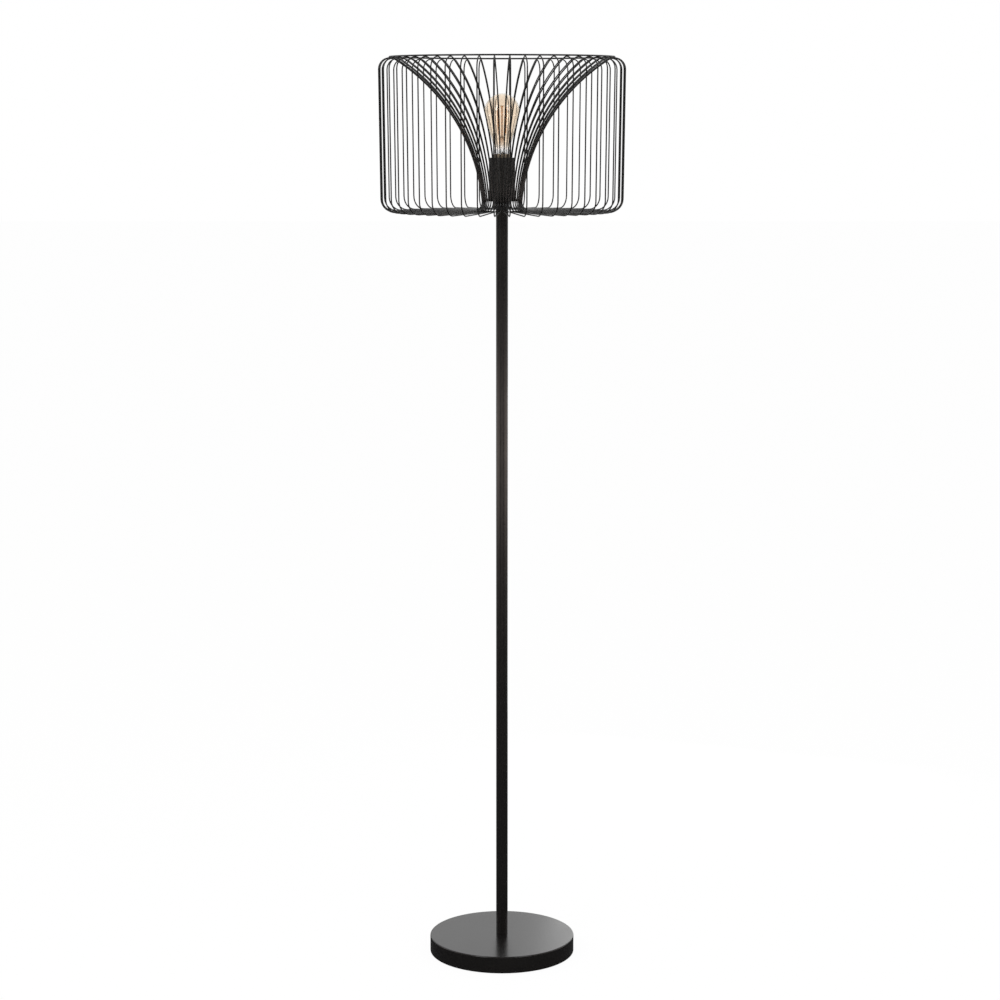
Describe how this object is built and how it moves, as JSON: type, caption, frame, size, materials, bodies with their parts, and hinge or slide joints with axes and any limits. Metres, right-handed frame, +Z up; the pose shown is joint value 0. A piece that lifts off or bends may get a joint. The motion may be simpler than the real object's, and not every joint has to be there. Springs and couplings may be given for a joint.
{
  "type": "wire cage floor lamp",
  "caption": "Slim black floor lamp: disc foot, straight pole and a wide drum-shaped cage of fine upright wires with a trumpet-shaped funnel around a bare amber filament bulb.",
  "frame": {"origin": "centre of the foot's underside, on the floor, on the pole's axis", "axes": "+Z up along the pole, -Y to the front, +Y to the rear where the cable bush is"},
  "size_m": [0.4494, 0.4494, 1.69],
  "materials": {
    "black_enamel": "satin",
    "zinc_steel": "satin",
    "cement": "matte",
    "rubber": "matte",
    "black_plastic": "matte",
    "brass": "satin",
    "lead_jacket": "matte",
    "nickel_cap": "satin",
    "cap_glass": "gloss",
    "solder": "satin",
    "amber_glass": "gloss",
    "clear_glass": "gloss",
    "filament_coating": "matte",
    "nickel_wire": "satin"
  },
  "bodies": {
    "lamp": {"base_pan": "black_enamel", "base_weight": "cement", "base_pad": "rubber", "cable_bush": "black_plastic", "pole_lower": "black_enamel", "pole_middle": "black_enamel", "pole_upper": "black_enamel", "pole_inserts": "zinc_steel", "threaded_nipples": "zinc_steel", "hex_nuts": "zinc_steel", "flat_washers": "zinc_steel", "pole_collar": "black_enamel", "cage_wires": "black_enamel", "cage_top_ring": "black_enamel", "fitter_plate": "black_enamel", "holder_sleeve": "black_enamel", "holder_base": "black_plastic", "holder_core": "black_plastic", "holder_shell": "brass", "centre_contact": "brass", "terminal_screws": "brass", "inner_lead": "lead_jacket"},
    "bulb": {"bulb_cap": "nickel_cap", "cap_insulator": "cap_glass", "cap_tip": "solder", "bulb_glass": "amber_glass", "bulb_stem": "clear_glass", "bulb_filaments": "filament_coating", "filament_supports": "nickel_wire"}
  },
  "joints": [
    {"name": "bulb_lift", "type": "slide", "parent": "lamp", "child": "bulb", "axis": [0, 0, 1], "range_m": [0, 0.21]}
  ]
}
